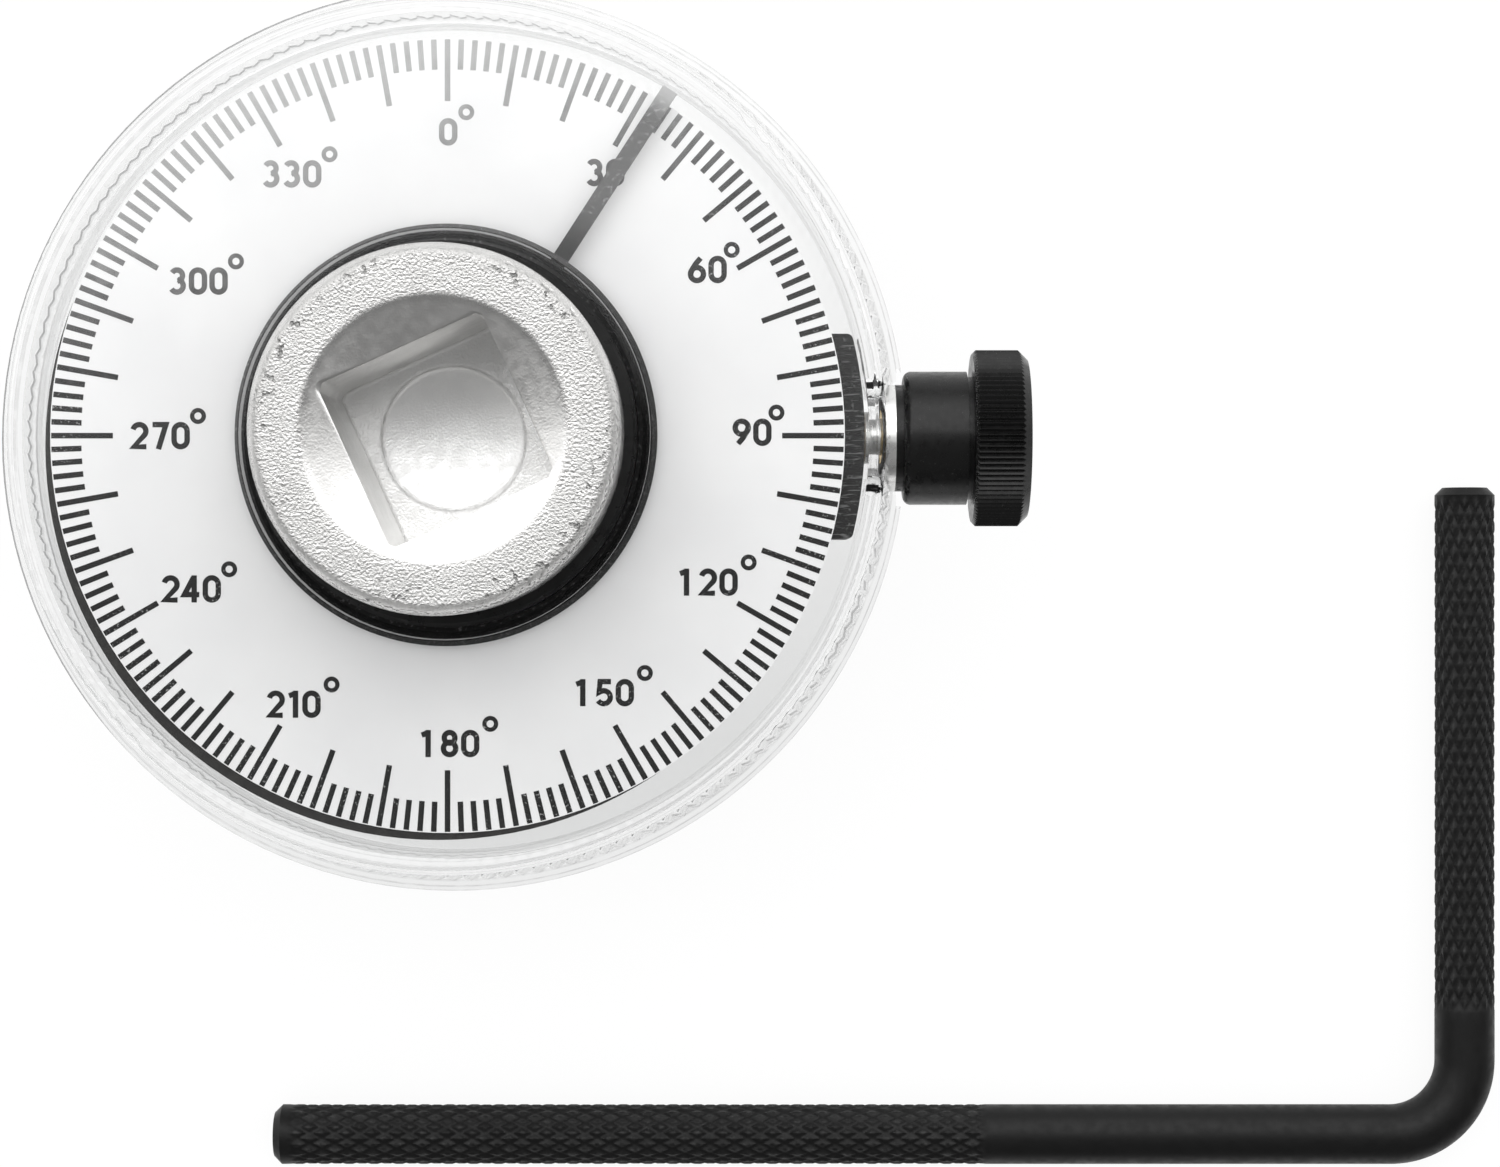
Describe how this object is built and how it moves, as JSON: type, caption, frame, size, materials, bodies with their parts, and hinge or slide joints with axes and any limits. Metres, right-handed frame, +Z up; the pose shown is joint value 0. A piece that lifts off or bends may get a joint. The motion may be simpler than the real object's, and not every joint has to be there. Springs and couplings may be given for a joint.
{
  "type": "torque angle gauge",
  "caption": "Torque angle gauge: square-drive spindle with a pointer over a degree scale in a clear serrated cover, a thumb-screw rod clamp and a bent holding rod.",
  "frame": {"origin": "on the drive axis, at the end face of the male drive square", "axes": "+Z up the drive axis through the female socket, +X towards the thumb screw, +Y towards the zero of the scale"},
  "size_m": [0.1162, 0.0916, 0.038],
  "materials": {
    "chrome": "orange-peel chrome plate",
    "ball_steel": "polished",
    "spring_steel": "oiled",
    "hub_black": "satin black moulding",
    "pointer_black": "black painted sheet",
    "washer_steel": "zinc plate",
    "clear_plastic": "clear polished moulding",
    "bush_bronze": "sintered bronze",
    "brass": "turned",
    "washer_white": "matt",
    "plate_black": "matt black",
    "label_white": "white printed film",
    "block_black": "black, lightly scuffed",
    "knob_black": "satin black moulding",
    "rod_black": "black oxide with diamond-knurled ends"
  },
  "bodies": {
    "dial_housing": {"dial_base": "clear_plastic", "bearing_bush": "bush_bronze", "thrust_washer": "washer_white", "scale_plate": "plate_black", "scale_label": "label_white", "scale_screws": "washer_steel", "clear_cover": "clear_plastic", "clamp_block": "block_black", "block_screws": "washer_steel", "thread_insert": "brass"},
    "drive": {"drive_spindle": "chrome", "detent_spring": "spring_steel", "pointer_hub": "hub_black", "pointer": "pointer_black", "retaining_ring": "spring_steel", "flat_washer": "washer_steel", "spring_washer": "spring_steel"},
    "detent_ball": {"detent_ball": "ball_steel"},
    "clamp_pad": {"clamp_pad": "brass"},
    "thumb_screw": {"clamp_stud": "washer_steel", "thumb_knob": "knob_black"},
    "holding_rod": {"holding_rod": "rod_black"}
  },
  "joints": [
    {"name": "drive_turn", "type": "hinge", "parent": "dial_housing", "child": "drive", "pos_m": [0, 0, 0.02], "axis": [0, 0, 1], "continuous": true},
    {"name": "detent_press", "type": "slide", "parent": "drive", "child": "detent_ball", "axis": [-0.4147, 0.91, 0], "range_m": [0, 0.0008], "stiffness_N_per_m": 1000, "springref_m": -0.0005, "deforming": ["detent_spring"]},
    {"name": "pad_travel", "type": "slide", "parent": "dial_housing", "child": "clamp_pad", "axis": [1, 0, 0], "range_m": [-0.0003, 0.0028]},
    {"name": "thumb_screw_turn", "type": "hinge", "parent": "clamp_pad", "child": "thumb_screw", "pos_m": [0.034, 0, 0.0214], "axis": [1, 0, 0], "range_deg": [-155, 1441]},
    {"name": "rod_lift", "type": "slide", "parent": "dial_housing", "child": "holding_rod", "axis": [0, 0, 1], "range_m": [0, 0.05]}
  ],
  "couplings": [
    {"joint": "thumb_screw_turn", "follows": "pad_travel", "rad_per_m": 8976.7}
  ]
}
